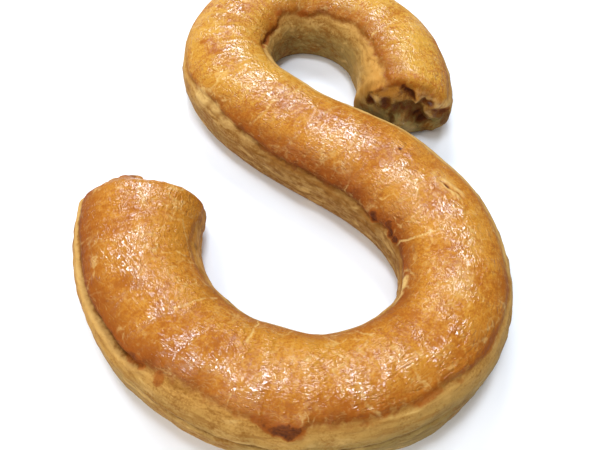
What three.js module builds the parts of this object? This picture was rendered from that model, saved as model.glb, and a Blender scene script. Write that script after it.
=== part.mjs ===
// Almond pastry letter: one filled puff-pastry roll, bent into an S, egg-washed and baked lying flat.
// Millimetres, +Z up, +Y towards the top of the letter. The origin is on the base, under the middle of the letter.

import * as THREE from "three";
import { LoftGeometry } from "three/addons/geometries/LoftGeometry.js";

const { clamp, degToRad, lerp, smoothstep } = THREE.MathUtils;

// Course of the roll from the head, at the upper right, to the tail, at the lower left.
// Each bend has a length along the roll and a turn in degrees, positive to the left.
const HEAD_HEADING = 74; // degrees from +X, looking into the roll from its head
const BENDS = [
  { length: 36, turn: 31 },
  { length: 58, turn: 63 },
  { length: 48, turn: 78 },
  { length: 42, turn: 65 },
  { length: 61, turn: 22 },
  { length: 57, turn: -38 },
  { length: 67, turn: -87 },
  { length: 47, turn: -38 },
  { length: 51, turn: -41 },
  { length: 62, turn: -50 },
];
const BEND_EASING = 40; // length of roll over which one bend passes into the next
const EASING_SAMPLES = 9; // headings averaged over that length
const COURSE_STEP = 1; // spacing of the points that the course is worked out at
const ROLL_LENGTH = BENDS.reduce((sum, bend) => sum + bend.length, 0);

// Cross-section of the roll: a rounded crown on a rounded foot that the baking sheet has flattened
const HEIGHT = 32;
const WIDTHS = [46, 41.5, 44.5, 44.5, 47, 43, 44, 47, 52]; // at even steps from the head to the tail
const BELLY_HEIGHT = 10; // where the roll is widest
const CROWN_POWER = 2.4; // squareness above the widest line
const FOOT_POWER = 2.5; // squareness below it
const FOOT_DEPTH = 15; // depth of the foot's curve below the widest line, had it not been flattened

// Edge of the egg-washed top sheet on each flank. At a distance along the roll it lies at an angle from the crest,
// over a crevice of the given depth, and the paler dough below the crevice swells out.
const LEFT_EDGE = [
  { at: 0, angle: 22, crevice: 0.6, swell: 0.4 },
  { at: 10, angle: 26, crevice: 0.6, swell: 0.4 },
  { at: 20, angle: 33, crevice: 0.6, swell: 0.5 },
  { at: 45, angle: 38, crevice: 0.6, swell: 0.4 },
  { at: 75, angle: 44, crevice: 0.6, swell: 0.3 },
  { at: 98, angle: 50, crevice: 0.8, swell: 0.3 },
  { at: 115, angle: 46, crevice: 0.6, swell: 0.3 },
  { at: 132, angle: 58, crevice: 1.4, swell: 0.3 },
  { at: 150, angle: 56, crevice: 1.4, swell: 0.3 },
  { at: 168, angle: 47, crevice: 0.8, swell: 0.3 },
  { at: 200, angle: 46, crevice: 0.5, swell: 0.2 },
  { at: 265, angle: 43, crevice: 0.4, swell: 0.0 },
  { at: 300, angle: 45, crevice: 0.4, swell: 0.0 },
  { at: 335, angle: 48, crevice: 0.4, swell: 0.2 },
  { at: 350, angle: 44, crevice: 0.5, swell: 0.4 },
  { at: 365, angle: 38, crevice: 0.5, swell: 0.4 },
  { at: 404, angle: 38, crevice: 0.5, swell: 0.4 },
  { at: 408, angle: 47, crevice: 0.4, swell: 0.3 },
  { at: 412, angle: 50, crevice: 0.3, swell: 0.2 },
  { at: 417, angle: 47, crevice: 0.3, swell: 0.2 },
  { at: 421, angle: 39, crevice: 0.2, swell: 0.1 },
  { at: 430, angle: 36, crevice: 0.1, swell: 0.1 },
  { at: 446, angle: 36, crevice: 0.2, swell: 0.2 },
  { at: 453, angle: 41, crevice: 0.8, swell: 0.5 },
  { at: 459, angle: 48, crevice: 1.8, swell: 0.9 },
  { at: 466, angle: 52, crevice: 2.6, swell: 1.1 },
  { at: 475, angle: 53, crevice: 2.4, swell: 1.0 },
  { at: 490, angle: 54, crevice: 1.5, swell: 0.6 },
  { at: 505, angle: 54, crevice: 1.0, swell: 0.4 },
  { at: ROLL_LENGTH, angle: 60, crevice: 0.6, swell: 0.3 },
];
const RIGHT_EDGE = [
  { at: 0, angle: 55, crevice: 0.6, swell: 0.3 },
  { at: 140, angle: 56, crevice: 0.6, swell: 0.3 },
  { at: 170, angle: 60, crevice: 0.8, swell: 0.5 },
  { at: 178, angle: 57, crevice: 1.0, swell: 0.5 },
  { at: 188, angle: 52, crevice: 1.2, swell: 0.4 },
  { at: 200, angle: 58, crevice: 1.3, swell: 0.4 },
  { at: 220, angle: 62, crevice: 1.4, swell: 0.4 },
  { at: 265, angle: 63, crevice: 1.4, swell: 0.4 },
  { at: 281, angle: 66, crevice: 1.1, swell: 0.4 },
  { at: 293, angle: 63, crevice: 1.0, swell: 0.4 },
  { at: 302, angle: 66, crevice: 0.9, swell: 0.3 },
  { at: 311, angle: 68, crevice: 0.7, swell: 0.3 },
  { at: 323, angle: 73, crevice: 0.5, swell: 0.2 },
  { at: 338, angle: 65, crevice: 0.6, swell: 0.2 },
  { at: 350, angle: 61, crevice: 0.6, swell: 0.3 },
  { at: 405, angle: 60, crevice: 0.6, swell: 0.3 },
  { at: 440, angle: 61, crevice: 0.6, swell: 0.3 },
  { at: 475, angle: 61, crevice: 0.6, swell: 0.3 },
  { at: 495, angle: 62, crevice: 0.4, swell: 0.2 },
  { at: 507, angle: 66, crevice: 0.2, swell: 0.1 },
  { at: 515, angle: 78, crevice: 0.2, swell: 0.1 },
  { at: ROLL_LENGTH, angle: 80, crevice: 0.2, swell: 0.1 },
];
const LIP = { offset: -2.2, width: 1.6, rise: 0.2 }; // rolled edge of the top sheet
const CREVICE = { offset: 0.6, width: 1.4 };
const SWELL = { offset: 6, width: 4 };
const FOOT_FADE = 25; // degrees above the foot over which this relief dies out

// Slow unevenness of the hand-rolled dough: waves along the roll that drift round it
const LUMPS = [
  { length: 83, height: 0.45, lobes: 1, phase: 0.4 },
  { length: 47, height: 0.35, lobes: 2, phase: 2.1 },
  { length: 31, height: 0.25, lobes: 3, phase: 4.4 },
];

// Tucked ends, each closing in on its tip. The face is turned from square to the roll's course, and the foot draws in
// towards it. A fold is a round rise or hollow in the face. Tips and folds are placed across the face, positive to the
// left of the course, and up from the base.
const END_POWER = 2.8; // bluntness
const TURN_LENGTH = 40; // length of roll over which the turn of the face dies out
const TUCK_LENGTH = 35; // length of roll over which the foot draws in
const HEAD_END = {
  depth: 6.5,
  turn: -2.5, // degrees
  tuck: 4.5, // taken off the depth of the foot's curve
  tip: { across: 1, up: 10 },
  folds: [
    { across: 10, up: 15, radius: 8, rise: 1.5 },
    { across: -5, up: 18, radius: 8, rise: -4.5 },
    { across: 1, up: 10, radius: 6, rise: 2 },
    { across: -15, up: 20, radius: 6, rise: 2.5 },
    { across: -14, up: 9, radius: 7, rise: -2.5 },
    { across: -2, up: 2, radius: 8, rise: 3 },
  ],
};
const TAIL_END = {
  depth: 8,
  turn: -8,
  tuck: 2.5,
  tip: { across: 5, up: 20 },
  folds: [
    { across: 4.5, up: 27, radius: 6, rise: 3.5 },
    { across: 20, up: 18, radius: 8, rise: -3.5 },
    { across: -16, up: 18, radius: 9, rise: 2 },
    { across: 0, up: 9, radius: 8, rise: 2 },
  ],
};

// Facets
const BODY_RINGS = 140;
const END_RINGS = 7;
const CROWN_COLUMNS = 13;
const FLANK_COLUMNS = 8;
const FLANK_CROWDING = 1.4; // flank columns stand closer together towards the crevice
const BASE_COLUMNS = 4;

const CRUST_COLOUR = 0xc47f34;

// The roll's middle line, laid out on the base plane.
class RollCourse extends THREE.Curve {
  constructor() {
    super();
    this.steps = Math.round(ROLL_LENGTH / COURSE_STEP);
    this.points = [new THREE.Vector3()];
    for (let i = 0; i < this.steps; i++) {
      const tangent = this.tangentAt((i + 0.5) * COURSE_STEP);
      this.points.push(this.points[i].clone().addScaledVector(tangent, COURSE_STEP));
    }
  }

  // Heading in degrees where each bend keeps its own even curvature. The end bends run on past the ends.
  plainHeading(distance) {
    let heading = HEAD_HEADING;
    let rest = distance;
    for (const [i, bend] of BENDS.entries()) {
      const last = i === BENDS.length - 1;
      const covered = last ? rest : Math.min(rest, bend.length);
      heading += (bend.turn * covered) / bend.length;
      rest -= covered;
      if (rest <= 0) break;
    }
    return heading;
  }

  tangentAt(distance) {
    let heading = 0;
    for (let i = 0; i < EASING_SAMPLES; i++) {
      const shift = (i / (EASING_SAMPLES - 1) - 0.5) * BEND_EASING;
      heading += this.plainHeading(distance + shift) / EASING_SAMPLES;
    }
    return new THREE.Vector3(Math.cos(degToRad(heading)), Math.sin(degToRad(heading)), 0);
  }

  // Point at a distance from the head, straight on past either end.
  pointAt(distance) {
    const inside = clamp(distance, 0, ROLL_LENGTH);
    const index = Math.min(Math.floor(inside / COURSE_STEP), this.steps - 1);
    const share = inside / COURSE_STEP - index;
    const point = this.points[index].clone().lerp(this.points[index + 1], share);
    return point.addScaledVector(this.tangentAt(inside), distance - inside);
  }

  getPoint(t, target = new THREE.Vector3()) {
    return target.copy(this.pointAt(t * ROLL_LENGTH));
  }
}

function hill(value, { offset, width }) {
  return Math.exp(-(((value - offset) / width) ** 2));
}

// Values of an edge at a distance along the roll, eased from each listed place to the next.
function edgeAt(edge, distance) {
  const inside = clamp(distance, 0, ROLL_LENGTH);
  const next = Math.max(1, edge.findIndex((place) => place.at >= inside));
  const [from, to] = [edge[next - 1], edge[next]];
  const share = smoothstep(inside, from.at, to.at);
  const eased = (key) => lerp(from[key], to[key], share);
  return { angle: degToRad(eased("angle")), crevice: eased("crevice"), swell: eased("swell") };
}

function halfWidthAt(distance) {
  const position = (clamp(distance, 0, ROLL_LENGTH) / ROLL_LENGTH) * (WIDTHS.length - 1);
  const index = Math.min(Math.floor(position), WIDTHS.length - 2);
  const share = smoothstep(position - index, 0, 1);
  return lerp(WIDTHS[index], WIDTHS[index + 1], share) / 2;
}

// Half-width of the section and depth of its foot's curve at a distance along the roll.
function sectionAt(distance) {
  const towards = (end, away) => end.tuck * (1 - smoothstep(away, 0, TUCK_LENGTH));
  const tuck = towards(HEAD_END, distance) + towards(TAIL_END, ROLL_LENGTH - distance);
  return { halfWidth: halfWidthAt(distance), footDepth: FOOT_DEPTH - tuck };
}

// Angle from the crest at which the flank meets the flat base.
function footAngle({ halfWidth, footDepth }) {
  const flattened = (BELLY_HEIGHT / footDepth) ** FOOT_POWER;
  const footHalfWidth = halfWidth * (1 - flattened) ** (1 / FOOT_POWER);
  return Math.PI - Math.atan2(footHalfWidth, BELLY_HEIGHT);
}

// Distance from the middle of the belly line to the plain section's outline.
function sectionRadius(angle, { halfWidth, footDepth }) {
  const across = Math.abs(Math.sin(angle));
  const up = Math.cos(angle);
  const power = up > 0 ? CROWN_POWER : FOOT_POWER;
  const reach = up > 0 ? HEIGHT - BELLY_HEIGHT : footDepth;
  const radius = ((across / halfWidth) ** power + (Math.abs(up) / reach) ** power) ** (-1 / power);
  return up < 0 ? Math.min(radius, BELLY_HEIGHT / -up) : radius;
}

// Relief of the crust: the top sheet's rolled lip, the crevice under it, the swollen dough below and slow lumps.
function crustRelief(distance, angle, radius, section) {
  const edge = edgeAt(angle > 0 ? LEFT_EDGE : RIGHT_EDGE, distance);
  const below = (Math.abs(angle) - edge.angle) * radius;
  let relief = LIP.rise * hill(below, LIP) - edge.crevice * hill(below, CREVICE) + edge.swell * hill(below, SWELL);
  for (const lump of LUMPS) {
    const wave = Math.sin((2 * Math.PI * distance) / lump.length + lump.phase);
    relief += lump.height * wave * Math.cos(lump.lobes * angle + lump.phase);
  }
  return relief * smoothstep(footAngle(section) - Math.abs(angle), 0, degToRad(FOOT_FADE));
}

function endRelief(folds, { across, up }) {
  return folds.reduce((sum, fold) => {
    const away = Math.hypot(across - fold.across, up - fold.up);
    return sum + fold.rise * hill(away, { offset: 0, width: fold.radius });
  }, 0);
}

// How far along the roll a ring's point moves for each millimetre across it, as the ends' faces are turned.
function turnAt(distance) {
  const towards = (end, away) => Math.tan(degToRad(end.turn)) * (1 - smoothstep(away, 0, TURN_LENGTH));
  return towards(HEAD_END, distance) + towards(TAIL_END, ROLL_LENGTH - distance);
}

// Angles of one ring's points, from the right edge over the crown to the left edge, down the left flank, along the
// base and up the right flank.
function ringAngles(distance) {
  const left = edgeAt(LEFT_EDGE, distance).angle;
  const right = edgeAt(RIGHT_EDGE, distance).angle;
  const foot = footAngle(sectionAt(distance));
  const angles = [];
  for (let i = 0; i < CROWN_COLUMNS; i++) {
    const share = (1 - Math.cos((Math.PI * i) / CROWN_COLUMNS)) / 2;
    angles.push(lerp(-right, left, share));
  }
  const flank = Array.from({ length: FLANK_COLUMNS }, (_, i) => (i / FLANK_COLUMNS) ** FLANK_CROWDING);
  flank.forEach((share) => angles.push(lerp(left, foot, share)));
  for (let i = 0; i <= BASE_COLUMNS; i++) {
    angles.push(lerp(foot, 2 * Math.PI - foot, i / BASE_COLUMNS));
  }
  flank.slice(1).reverse().forEach((share) => angles.push(2 * Math.PI - lerp(right, foot, share)));
  return angles.map((angle) => (angle > Math.PI ? angle - 2 * Math.PI : angle));
}

// Places of the rings over one end, from its tip to the full section. Spread is the ring's share of the full section,
// and face is how squarely it looks along the roll. The ring at the tip is flat.
function endPlaces(end) {
  return Array.from({ length: END_RINGS }, (_, i) => {
    const slope = ((i + 0.5) / END_RINGS) * (Math.PI / 2);
    const inset = end.depth * (1 - Math.cos(slope) ** (2 / END_POWER));
    const spread = Math.sin(slope) ** (2 / END_POWER);
    return { end, inset, spread, face: Math.cos(slope), flat: i === 0 };
  });
}

// Places of all rings: over the head's end, along the roll and over the tail's end.
function ringPlaces() {
  const head = endPlaces(HEAD_END).map((place) => ({ ...place, distance: place.inset, face: -place.face }));
  const body = Array.from({ length: BODY_RINGS }, (_, i) => {
    const distance = lerp(HEAD_END.depth, ROLL_LENGTH - TAIL_END.depth, i / (BODY_RINGS - 1));
    return { end: HEAD_END, distance, spread: 1, face: 0, flat: false };
  });
  const tail = endPlaces(TAIL_END).map((place) => ({ ...place, distance: ROLL_LENGTH - place.inset }));
  return [...head, ...body, ...tail.reverse()];
}

function ringPoints(course, { end, distance, spread, face, flat }) {
  const section = sectionAt(distance);
  const turn = turnAt(distance);
  const tangent = course.tangentAt(distance);
  const left = new THREE.Vector3(-tangent.y, tangent.x, 0);
  const points = ringAngles(distance).map((angle) => {
    const plain = sectionRadius(angle, section);
    const radius = plain + crustRelief(distance, angle, plain, section);
    const height = Math.max(0, BELLY_HEIGHT + radius * Math.cos(angle));
    const across = lerp(end.tip.across, radius * Math.sin(angle), spread);
    const up = lerp(end.tip.up, height, spread);
    const relief = flat ? endRelief(end.folds, end.tip) : endRelief(end.folds, { across, up });
    const along = distance + face * relief + turn * across;
    const point = course.pointAt(along).addScaledVector(left, across);
    return point.setZ(up);
  });
  return points.reverse();
}

function rollGeometry() {
  const course = new RollCourse();
  const rings = ringPlaces().map((place) => ringPoints(course, place));
  const geometry = new LoftGeometry(rings, { capStart: true, capEnd: true });
  geometry.computeBoundingBox();
  const middle = geometry.boundingBox.getCenter(new THREE.Vector3());
  return geometry.translate(-middle.x, -middle.y, -geometry.boundingBox.min.z);
}

const crust = new THREE.MeshStandardMaterial({ color: CRUST_COLOUR, roughness: 0.4, metalness: 0 });
const roll = new THREE.Mesh(rollGeometry(), crust);
roll.name = "pastry_roll";

const letter = new THREE.Group();
letter.add(roll);

export default letter;
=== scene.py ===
"""Almond pastry letter: a filled puff-pastry roll bent into an S, egg-washed and baked lying flat."""

import logging
import math
from collections.abc import Sequence
from dataclasses import dataclass
from enum import Enum
from typing import TypeVar

import bmesh
import bpy
import numpy as np
from mathutils import Matrix, Vector, noise

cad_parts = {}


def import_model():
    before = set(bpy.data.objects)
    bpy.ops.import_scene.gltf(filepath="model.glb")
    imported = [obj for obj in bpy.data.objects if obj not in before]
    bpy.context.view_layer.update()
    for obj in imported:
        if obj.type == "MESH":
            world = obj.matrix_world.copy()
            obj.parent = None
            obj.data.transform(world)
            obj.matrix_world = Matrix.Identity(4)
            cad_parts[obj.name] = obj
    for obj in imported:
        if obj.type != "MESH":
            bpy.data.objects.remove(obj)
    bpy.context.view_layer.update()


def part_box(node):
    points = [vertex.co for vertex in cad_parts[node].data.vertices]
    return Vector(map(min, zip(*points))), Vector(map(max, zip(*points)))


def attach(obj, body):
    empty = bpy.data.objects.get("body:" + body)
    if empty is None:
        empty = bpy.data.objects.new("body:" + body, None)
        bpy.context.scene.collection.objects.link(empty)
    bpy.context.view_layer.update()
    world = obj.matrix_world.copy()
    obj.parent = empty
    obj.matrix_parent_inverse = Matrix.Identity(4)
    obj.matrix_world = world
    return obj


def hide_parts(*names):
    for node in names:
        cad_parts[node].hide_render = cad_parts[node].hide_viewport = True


Array = np.ndarray
Pair = tuple[float, float]
Colour = tuple[float, float, float]
Settings = dict[str, str | float | bool]
Row = TypeVar("Row")
log = logging.getLogger("almond_letter")

MM = 0.001  # the sizes below are in millimetres and the scene is in metres
NOISE_ROUGHNESS = 0.55


def rows_of(kind: type[Row], *rows: tuple) -> tuple[Row, ...]:
    """One item of a kind from each row of its values."""
    return tuple(kind(*row) for row in rows)


def hill(value: Array, middle: Array | float, width: float) -> Array:
    """Bell curve of height 1 over its middle."""
    return np.exp(-(((value - middle) / width) ** 2))


def step(value: Array, low: Array | float, high: Array | float) -> Array:
    """Smooth rise from 0 at low to 1 at high, or the reverse where high is below low."""
    share = np.clip((value - low) / (high - low), 0.0, 1.0)
    return share * share * (3.0 - 2.0 * share)


def eased(at: Array, stops: Sequence[float], values: Sequence[float]) -> Array:
    """Eases a value from each stop to the next.

    Args:
        at: Where the value is wanted.
        stops: Rising places of the known values.
        values: The known values.

    Returns:
        The value at each wanted place.
    """
    places, known = np.asarray(stops, float), np.asarray(values, float)
    inside = np.clip(at, places[0], places[-1])
    index = np.clip(np.searchsorted(places, inside, side="right") - 1, 0, len(places) - 2)
    share = step(inside, places[index], places[index + 1])
    return known[index] + (known[index + 1] - known[index]) * share


def flat_points(along: Array, around: Array) -> Array:
    """Points of a flat map of the roll: distance along it and distance round it."""
    return np.stack([along, around, np.zeros_like(along)], axis=-1)


@dataclass(frozen=True)
class Grain:
    """Unevenness: its height, the distance from one lump to the next, and a shift that no other has."""

    height: float
    size: float
    shift: float

    def at(self, points: Array) -> Array:
        """Works out the unevenness at points in space.

        Args:
            points: Points in millimetres, with x, y and z on the last axis.

        Returns:
            One height for each point, from about minus to plus the height.
        """
        scaled = points.reshape(-1, 3) / self.size + self.shift
        values = np.array([noise.noise(place) for place in scaled.tolist()])
        return self.height * values.reshape(points.shape[:-1])


def heaped(points: Array, grains: Sequence[Grain]) -> Array:
    """Sum of several grains at points in space."""
    return sum(grain.at(points) for grain in grains)


@dataclass(frozen=True)
class Bend:
    """Stretch of the roll with an even curve: its length, and its turn in degrees to the left."""

    length: float
    turn: float


@dataclass(frozen=True)
class RollCourse:
    """Middle line of the roll from the head, at the upper right, to the tail, at the lower left."""

    heading: float = 74.0
    bends: tuple[Bend, ...] = rows_of(
        Bend,
        (36, 31), (58, 63), (48, 78), (42, 65), (61, 22),
        (57, -38), (67, -87), (47, -38), (51, -41), (62, -50),
    )
    easing: float = 40.0
    easing_samples: int = 9
    overrun: float = 60.0

    @property
    def length(self) -> float:
        """Length of the whole roll."""
        return sum(bend.length for bend in self.bends)

    def headings(self, distance: Array) -> Array:
        """Heading at a distance, eased from bend to bend.

        Args:
            distance: Distances from the head.

        Returns:
            Headings in radians.
        """
        lengths = np.array([bend.length for bend in self.bends])
        turns = np.array([bend.turn for bend in self.bends])
        first, last = turns[0] / lengths[0], turns[-1] / lengths[-1]
        knots = np.concatenate([[0.0], np.cumsum(lengths)])
        turned = np.concatenate([[0.0], np.cumsum(turns)])
        knots = np.concatenate([[-self.overrun], knots, [knots[-1] + self.overrun]])
        turned = np.concatenate([[-first * self.overrun], turned, [turned[-1] + last * self.overrun]])
        shifts = np.linspace(-0.5, 0.5, self.easing_samples) * self.easing
        mean = np.mean([np.interp(distance + shift, knots, turned) for shift in shifts], axis=0)
        return np.radians(self.heading + mean)

    def places(self, distance: Array) -> Array:
        """Points along the course, straight on past either end.

        Args:
            distance: Distances from the head.

        Returns:
            Points on the base plane, with x and y on the last axis.
        """
        count = round(self.length)
        paces = self.headings(np.arange(count) + 0.5)
        inside = np.clip(distance, 0.0, self.length)
        heading = self.headings(inside)
        axes = []
        for part in (np.cos, np.sin):
            walked = np.concatenate([[0.0], np.cumsum(part(paces))])
            reached = np.interp(inside, np.arange(count + 1), walked)
            axes.append(reached + (distance - inside) * part(heading))
        return np.stack(axes, axis=-1)


@dataclass(frozen=True)
class RollSection:
    """Cross-section of the roll: a rounded crown on a rounded foot that the baking sheet has flattened."""

    height: float = 32.0
    widths: tuple[float, ...] = (46, 41.5, 44.5, 44.5, 47, 43, 44, 47, 52)
    belly_height: float = 10.0
    crown_power: float = 2.4
    foot_power: float = 2.5
    foot_depth: float = 15.0

    def half_width(self, share: Array) -> Array:
        """Half the roll's width at a share of its length."""
        return eased(share, np.linspace(0.0, 1.0, len(self.widths)), self.widths) / 2

    def foot_angle(self, half_width: Array, foot_depth: Array) -> Array:
        """Angle from the crest at which the flank meets the flat base.

        Args:
            half_width: Half the roll's width.
            foot_depth: Depth of the foot's curve below the widest line, had it not been flattened.

        Returns:
            Angles in radians, all positive.
        """
        flattened = (self.belly_height / foot_depth) ** self.foot_power
        reach = half_width * (1.0 - flattened) ** (1.0 / self.foot_power)
        return math.pi - np.arctan2(reach, self.belly_height)

    def radius(self, angle: Array, half_width: Array, foot_depth: Array) -> Array:
        """Distance from the middle of the belly line to the outline.

        Args:
            angle: Angles from the crest.
            half_width: Half the roll's width.
            foot_depth: Depth of the foot's curve.

        Returns:
            The distance at each angle.
        """
        across, up = np.abs(np.sin(angle)), np.cos(angle)
        power = np.where(up > 0, self.crown_power, self.foot_power)
        reach = np.where(up > 0, self.height - self.belly_height, foot_depth)
        radius = ((across / half_width) ** power + (np.abs(up) / reach) ** power) ** (-1.0 / power)
        flat = self.belly_height / np.maximum(-up, 1e-6)
        return np.where(up < 0, np.minimum(radius, flat), radius)


@dataclass(frozen=True)
class EdgePlace:
    """Place on the top sheet's edge: distance along the roll, angle from the crest, crevice and swell."""

    at: float
    angle: float
    crevice: float
    swell: float


@dataclass(frozen=True)
class EdgeShade:
    """Look near the edge at a distance along the roll.

    It has the flank's browning, pale top rim and thin egg wash, and how deeply the glaze above is browned.
    """

    at: float
    browning: float
    pale_rim: float
    wash: float
    deepening: float


@dataclass(frozen=True)
class SheetEdge:
    """Edge of the egg-washed top sheet on one flank, over a crevice and swollen paler dough."""

    places: tuple[EdgePlace, ...]
    shades: tuple[EdgeShade, ...]
    waver: tuple[Grain, ...]

    def value(self, name: str, distance: Array) -> Array:
        """One of the places' or the shades' values, eased along the roll."""
        rows = self.places if hasattr(self.places[0], name) else self.shades
        return eased(distance, [row.at for row in rows], [getattr(row, name) for row in rows])

    def angle(self, distance: Array, radius: float) -> Array:
        """Angle from the crest in radians, wavering by millimetres at a radius."""
        waver = heaped(flat_points(distance, np.zeros_like(distance)), self.waver)
        return np.radians(self.value("angle", distance)) + waver / radius


ROLL_LENGTH = RollCourse().length
LEFT_EDGE = SheetEdge(
    places=rows_of(
        EdgePlace,
        (0, 22, 0.6, 0.4), (10, 26, 0.6, 0.4), (20, 33, 0.6, 0.5), (45, 38, 0.6, 0.4), (75, 44, 0.6, 0.3),
        (98, 50, 0.8, 0.3), (115, 46, 0.6, 0.3), (132, 58, 1.4, 0.3), (150, 56, 1.4, 0.3),
        (168, 47, 0.8, 0.3), (200, 46, 0.5, 0.2), (265, 43, 0.4, 0.0), (300, 45, 0.4, 0.0),
        (335, 48, 0.4, 0.2), (350, 44, 0.5, 0.4), (365, 38, 0.5, 0.4), (404, 38, 0.5, 0.4),
        (408, 47, 0.4, 0.3), (412, 50, 0.3, 0.2), (417, 47, 0.3, 0.2), (421, 39, 0.2, 0.1),
        (430, 36, 0.1, 0.1), (446, 36, 0.2, 0.2), (453, 41, 0.8, 0.5), (459, 48, 1.8, 0.9),
        (466, 52, 2.6, 1.1), (475, 53, 2.4, 1.0), (490, 54, 1.5, 0.6), (505, 54, 1.0, 0.4),
        (ROLL_LENGTH, 60, 0.6, 0.3),
    ),
    shades=rows_of(
        EdgeShade,
        (0, -0.20, 0.0, 0.70, 0.6), (25, -0.15, 0.0, 0.60, 0.7), (50, 0.15, 0.0, 0.30, 0.7),
        (90, 0.45, 0.0, 0.10, 0.8), (120, 0.45, 0.1, 0.10, 0.7), (160, 0.30, 0.3, 0.10, 0.4),
        (185, 0.00, 0.7, 0.20, 0.1), (265, 0.00, 0.8, 0.20, 0.1), (300, 0.10, 0.7, 0.20, 0.2),
        (335, 0.25, 0.4, 0.20, 0.4), (352, 0.25, 0.1, 0.20, 0.6), (380, 0.10, 0.0, 0.15, 0.6),
        (412, 0.15, 0.0, 0.20, 0.8), (426, 0.35, 0.0, 0.50, 0.6), (446, 0.35, 0.0, 0.50, 0.7),
        (460, 0.20, 0.6, 0.35, 1.0), (480, 0.10, 0.9, 0.55, 1.0), (ROLL_LENGTH, 0.15, 0.9, 0.65, 0.9),
    ),
    waver=(Grain(1.0, 11.0, 3.1), Grain(0.5, 3.5, 10.4)),
)
RIGHT_EDGE = SheetEdge(
    places=rows_of(
        EdgePlace,
        (0, 55, 0.6, 0.3), (140, 56, 0.6, 0.3), (170, 60, 0.8, 0.5), (178, 57, 1.0, 0.5),
        (188, 52, 1.2, 0.4), (200, 58, 1.3, 0.4), (220, 62, 1.4, 0.4), (265, 63, 1.4, 0.4),
        (281, 66, 1.1, 0.4), (293, 63, 1.0, 0.4), (302, 66, 0.9, 0.3), (311, 68, 0.7, 0.3),
        (323, 73, 0.5, 0.2), (338, 65, 0.6, 0.2), (350, 61, 0.6, 0.3), (405, 60, 0.6, 0.3),
        (440, 61, 0.6, 0.3), (475, 61, 0.6, 0.3), (495, 62, 0.4, 0.2), (507, 66, 0.2, 0.1),
        (515, 78, 0.2, 0.1), (ROLL_LENGTH, 80, 0.2, 0.1),
    ),
    shades=rows_of(
        EdgeShade,
        (0, 0.40, 0.2, 0.40, 0.4), (150, 0.30, 0.3, 0.40, 0.2), (175, 0.30, 0.4, 0.40, 0.3),
        (195, 0.75, 0.2, 0.35, 0.7), (230, 1.05, 0.0, 0.40, 1.0), (290, 1.15, 0.0, 0.40, 1.0),
        (335, 0.70, 0.2, 0.40, 0.9), (375, 0.40, 0.4, 0.40, 0.7), (440, 0.40, 0.4, 0.50, 0.6),
        (460, 0.35, 0.2, 0.60, 0.5), (480, 0.30, 0.1, 0.75, 0.4), (505, 0.25, 0.1, 0.90, 0.3),
        (ROLL_LENGTH, 0.25, 0.1, 0.95, 0.3),
    ),
    waver=(Grain(1.0, 11.0, 9.6), Grain(0.5, 3.5, 16.9)),
)


@dataclass(frozen=True)
class Fold:
    """Round rise or hollow in an end's face, placed across it and up from the base."""

    across: float
    up: float
    radius: float
    rise: float

    def height(self, across: Array, up: Array) -> Array:
        """Height at places across the face and up from the base."""
        return self.rise * hill(np.hypot(across - self.across, up - self.up), 0.0, self.radius)


@dataclass(frozen=True)
class Stroke:
    """Stroke on an end's face from place to place, across and up, with a radius and a rise or darkness."""

    start: Pair
    end: Pair
    radius: float
    strength: float

    def away(self, across: Array, up: Array) -> Array:
        """Distance from the stroke's line, in radii.

        Args:
            across: Places across the face.
            up: Their heights above the base.

        Returns:
            The distance at each place.
        """
        run_across, run_up = self.end[0] - self.start[0], self.end[1] - self.start[1]
        east, north = across - self.start[0], up - self.start[1]
        share = np.clip((east * run_across + north * run_up) / (run_across**2 + run_up**2), 0.0, 1.0)
        return np.hypot(east - share * run_across, north - share * run_up) / self.radius


@dataclass(frozen=True)
class RollEnd:
    """Tucked end of the roll, closing in on its tip.

    Its face is turned, the foot draws in towards it, and it is ragged on the right of one line across and
    thinly washed with egg above one height.
    """

    depth: float
    turn: float
    tuck: float
    tip_across: float
    tip_up: float
    folds: tuple[Fold, ...]
    crags: tuple[Stroke, ...]
    scorches_and_shade: tuple[Stroke, ...]
    knobs_and_glints: tuple[Stroke, ...]
    glazed_from: float
    ragged: float
    ragged_to: float
    washed_above: float
    power: float = 2.8
    turn_length: float = 40.0
    tuck_length: float = 35.0
    crag_width: float = 1.1
    shade_reach: float = 1.9

    def ring(self, share: Array) -> tuple[Array, Array, Array]:
        """Rings over the end.

        Args:
            share: 0 at the tip and 1 at the full section.

        Returns:
            How far each ring lies behind the tip, its share of the full section and how far it faces out.
        """
        slope = share * math.pi / 2
        inset = self.depth * (1.0 - np.cos(slope) ** (2.0 / self.power))
        return inset, np.sin(slope) ** (2.0 / self.power), np.cos(slope)

    def shear(self, away: Array) -> Array:
        """Shift along the roll for each millimetre across it, at distances from the end."""
        return math.tan(math.radians(self.turn)) * step(away, self.turn_length, 0.0)

    def drawn_in(self, away: Array) -> Array:
        """What is taken off the foot's depth at distances from the end."""
        return self.tuck * step(away, self.tuck_length, 0.0)

    def folded(self, across: Array, up: Array) -> Array:
        """Height of the face's folds at places across it and up from the base."""
        return sum(fold.height(across, up) for fold in self.folds)

    def craggy(self, across: Array, up: Array) -> Array:
        """Height of the face's crags and pits at places across it and up from the base."""
        return sum(crag.strength * hill(crag.away(across, up), 0.0, self.crag_width) for crag in self.crags)

    def shade(self, strokes: Sequence[Stroke], across: Array, up: Array, fraying: Array) -> Array:
        """Strength of spots and painted shade, or of knobs and painted glints, drawn in or out by the
        fraying.
        """
        shares = (step(spot.away(across, up) + fraying, self.shade_reach, 0.0) for spot in strokes)
        return np.max([spot.strength * share for spot, share in zip(strokes, shares)], axis=0)


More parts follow.
